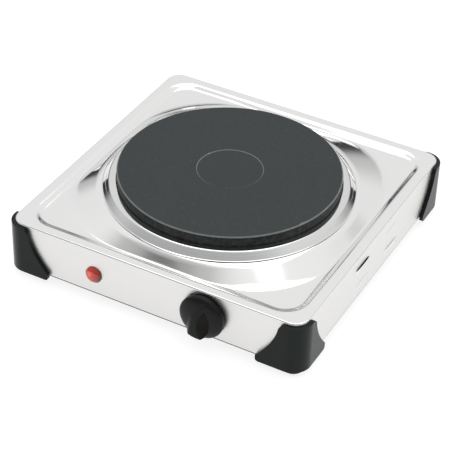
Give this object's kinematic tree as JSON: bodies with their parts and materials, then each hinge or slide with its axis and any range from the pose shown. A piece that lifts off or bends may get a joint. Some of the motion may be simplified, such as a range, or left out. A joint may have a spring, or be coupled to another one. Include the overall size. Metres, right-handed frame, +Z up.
{
  "type": "hot plate burner",
  "caption": "Portable electric hot plate: polished steel housing with black corner guards, a round cast-iron cooking plate in a spill ring, a turning thermostat knob and a red lamp.",
  "frame": {"origin": "centre of the object's box at the level of the surface it stands on, under the middle of the cooking plate", "axes": "+Z up through the cooking plate, -Y towards the front wall with the knob, +X to the right as seen from the front"},
  "size_m": [0.2688, 0.288, 0.072],
  "materials": {
    "polished_steel": "mirror-polished stainless steel",
    "black_sheet": "black satin paint on sheet steel",
    "guard_plastic": "glossy black moulding",
    "pad_rubber": "matt black rubber",
    "plate_iron": "turned and blackened cast iron",
    "coil_wire": "oxidised resistance wire",
    "ceramic": "unglazed ceramic",
    "zinc_steel": "zinc-plated steel",
    "shield_aluminium": "dull aluminised sheet",
    "knob_plastic": "satin black moulding",
    "lamp_red": "clear red lens",
    "white_plastic": "off-white nylon",
    "brass": "machined brass",
    "gland_plastic": "matt black nylon",
    "wire_brown": "brown silicone sleeve",
    "wire_blue": "blue silicone sleeve",
    "wire_green": "green and yellow sleeve"
  },
  "bodies": {
    "root": {"top_housing": "polished_steel", "base_plate": "black_sheet", "guard_front_left": "guard_plastic", "guard_front_right": "guard_plastic", "guard_back_left": "guard_plastic", "guard_back_right": "guard_plastic", "foot_pad_front_left": "pad_rubber", "foot_pad_front_right": "pad_rubber", "foot_pad_back_left": "pad_rubber", "foot_pad_back_right": "pad_rubber", "hot_plate": "plate_iron", "spill_ring": "polished_steel", "heating_coils": "coil_wire", "insulation_rings": "ceramic", "plate_cover": "zinc_steel", "plate_terminals": "ceramic", "clamp_stud": "zinc_steel", "clamp_bridge": "zinc_steel", "clamp_nut": "zinc_steel", "heat_shield": "shield_aluminium", "thermostat_body": "ceramic", "thermostat_frame": "zinc_steel", "thermostat_screws": "zinc_steel", "lamp_lens": "lamp_red", "lamp_holder": "white_plastic", "lamp_clip": "zinc_steel", "terminal_block": "ceramic", "terminal_screws": "brass", "cord_gland": "gland_plastic", "gland_nut": "gland_plastic", "earth_screw": "brass", "base_screws": "zinc_steel", "foot_screws": "zinc_steel", "wire_live": "wire_brown", "wire_switched": "wire_brown", "wire_neutral": "wire_blue", "wire_earth": "wire_green", "lamp_leads": "wire_brown"},
    "control": {"spindle": "zinc_steel", "knob": "knob_plastic", "knob_spring": "zinc_steel"}
  },
  "joints": [
    {"name": "knob_turn", "type": "hinge", "parent": "root", "child": "control", "pos_m": [0.048, -0.126, 0.029], "axis": [0, 1, 0], "range_deg": [0, 270]}
  ]
}
